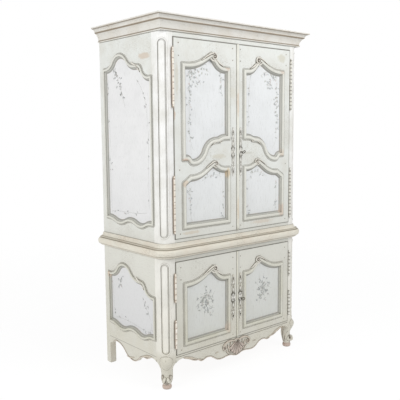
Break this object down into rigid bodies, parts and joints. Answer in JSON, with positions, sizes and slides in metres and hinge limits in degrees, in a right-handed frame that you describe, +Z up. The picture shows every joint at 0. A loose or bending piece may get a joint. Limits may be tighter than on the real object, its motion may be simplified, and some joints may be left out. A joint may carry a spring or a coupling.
{
  "type": "tv armoire",
  "caption": "French country armoire for a television, in distressed cream and blue-grey paint, with shaped doors over a base on scrolled feet.",
  "frame": {"origin": "on the floor under the middle of the whole armoire, cornice included", "axes": "+X to the right seen from the front, +Y to the back, +Z up"},
  "size_m": [1.344, 0.74, 2.3],
  "materials": {
    "cream_paint": "distressed cream paint with a brown glaze",
    "panel_paint": "blue-grey paint with painted sprays",
    "moulding_paint": "cream paint rubbed with brown glaze in the hollows",
    "pewter": "antiqued pewter-coloured steel",
    "interior_wood": "plain stained board"
  },
  "bodies": {
    "case": {"apron_shell": "moulding_paint", "base_top_board": "interior_wood", "case_hinge_halves": "pewter", "cornice": "moulding_paint", "front_apron": "cream_paint", "lower_back": "interior_wood", "lower_deck": "interior_wood", "lower_post_left": "cream_paint", "lower_post_right": "cream_paint", "lower_rear_posts": "cream_paint", "lower_shelf": "interior_wood", "lower_side_mouldings": "moulding_paint", "lower_side_panel_left": "panel_paint", "lower_side_panel_right": "panel_paint", "lower_side_rails_left": "cream_paint", "lower_side_rails_right": "cream_paint", "lower_top_rail": "cream_paint", "shelf_pins": "pewter", "top_board": "interior_wood", "upper_back": "interior_wood", "upper_bottom_rail": "cream_paint", "upper_deck": "interior_wood", "upper_post_left": "cream_paint", "upper_post_right": "cream_paint", "upper_rear_posts": "cream_paint", "upper_shelf": "interior_wood", "upper_side_mouldings": "moulding_paint", "upper_side_panel_left": "panel_paint", "upper_side_panel_right": "panel_paint", "upper_side_rails_left": "cream_paint", "upper_side_rails_right": "cream_paint", "upper_top_rail": "cream_paint", "waist_moulding": "moulding_paint"},
    "upper_left_door": {"upper_left_door_frame": "cream_paint", "upper_left_door_hinge_halves": "pewter", "upper_left_door_mouldings": "moulding_paint", "upper_left_door_panels": "panel_paint", "upper_left_lock_plates": "pewter"},
    "upper_right_door": {"upper_right_door_frame": "cream_paint", "upper_right_door_hinge_halves": "pewter", "upper_right_door_mouldings": "moulding_paint", "upper_right_door_panels": "panel_paint", "upper_right_lock_plates": "pewter"},
    "upper_key_body": {"upper_key": "pewter"},
    "upper_lock_bolt_body": {"upper_lock_bolt": "pewter"},
    "upper_slide_bolt_body": {"upper_slide_bolt": "pewter"},
    "lower_left_door": {"lower_left_door_frame": "cream_paint", "lower_left_door_hinge_halves": "pewter", "lower_left_door_mouldings": "moulding_paint", "lower_left_door_panels": "panel_paint", "lower_left_lock_plates": "pewter"},
    "lower_right_door": {"lower_right_door_frame": "cream_paint", "lower_right_door_hinge_halves": "pewter", "lower_right_door_mouldings": "moulding_paint", "lower_right_door_panels": "panel_paint", "lower_right_lock_plates": "pewter"},
    "lower_key_body": {"lower_key": "pewter"},
    "lower_lock_bolt_body": {"lower_lock_bolt": "pewter"},
    "lower_slide_bolt_body": {"lower_slide_bolt": "pewter"}
  },
  "joints": [
    {"name": "upper_left_door_swing", "type": "hinge", "parent": "case", "child": "upper_left_door", "pos_m": [-0.532, -0.3185, 1.5535], "axis": [0, 0, -1], "range_deg": [0, 165]},
    {"name": "upper_right_door_swing", "type": "hinge", "parent": "case", "child": "upper_right_door", "pos_m": [0.532, -0.3185, 1.5535], "axis": [0, 0, 1], "range_deg": [0, 165]},
    {"name": "upper_key_turn", "type": "hinge", "parent": "upper_right_door", "child": "upper_key_body", "pos_m": [0.036, -0.314, 1.478], "axis": [0, -1, 0], "range_deg": [0, 90]},
    {"name": "upper_lock_bolt_slide", "type": "slide", "parent": "upper_right_door", "child": "upper_lock_bolt_body", "axis": [-1, 0, 0], "range_m": [0, 0.01414]},
    {"name": "upper_slide_bolt_drop", "type": "slide", "parent": "upper_left_door", "child": "upper_slide_bolt_body", "axis": [0, 0, -1], "range_m": [0, 0.018]},
    {"name": "lower_left_door_swing", "type": "hinge", "parent": "case", "child": "lower_left_door", "pos_m": [-0.532, -0.3185, 0.501], "axis": [0, 0, -1], "range_deg": [0, 165]},
    {"name": "lower_right_door_swing", "type": "hinge", "parent": "case", "child": "lower_right_door", "pos_m": [0.532, -0.3185, 0.501], "axis": [0, 0, 1], "range_deg": [0, 165]},
    {"name": "lower_key_turn", "type": "hinge", "parent": "lower_right_door", "child": "lower_key_body", "pos_m": [0.033, -0.314, 0.482], "axis": [0, -1, 0], "range_deg": [0, 90]},
    {"name": "lower_lock_bolt_slide", "type": "slide", "parent": "lower_right_door", "child": "lower_lock_bolt_body", "axis": [-1, 0, 0], "range_m": [0, 0.01414]},
    {"name": "lower_slide_bolt_drop", "type": "slide", "parent": "lower_left_door", "child": "lower_slide_bolt_body", "axis": [0, 0, -1], "range_m": [0, 0.018]}
  ],
  "couplings": [
    {"joint": "upper_key_turn", "follows": "upper_lock_bolt_slide", "rad_per_m": 111.09},
    {"joint": "lower_key_turn", "follows": "lower_lock_bolt_slide", "rad_per_m": 111.09}
  ]
}
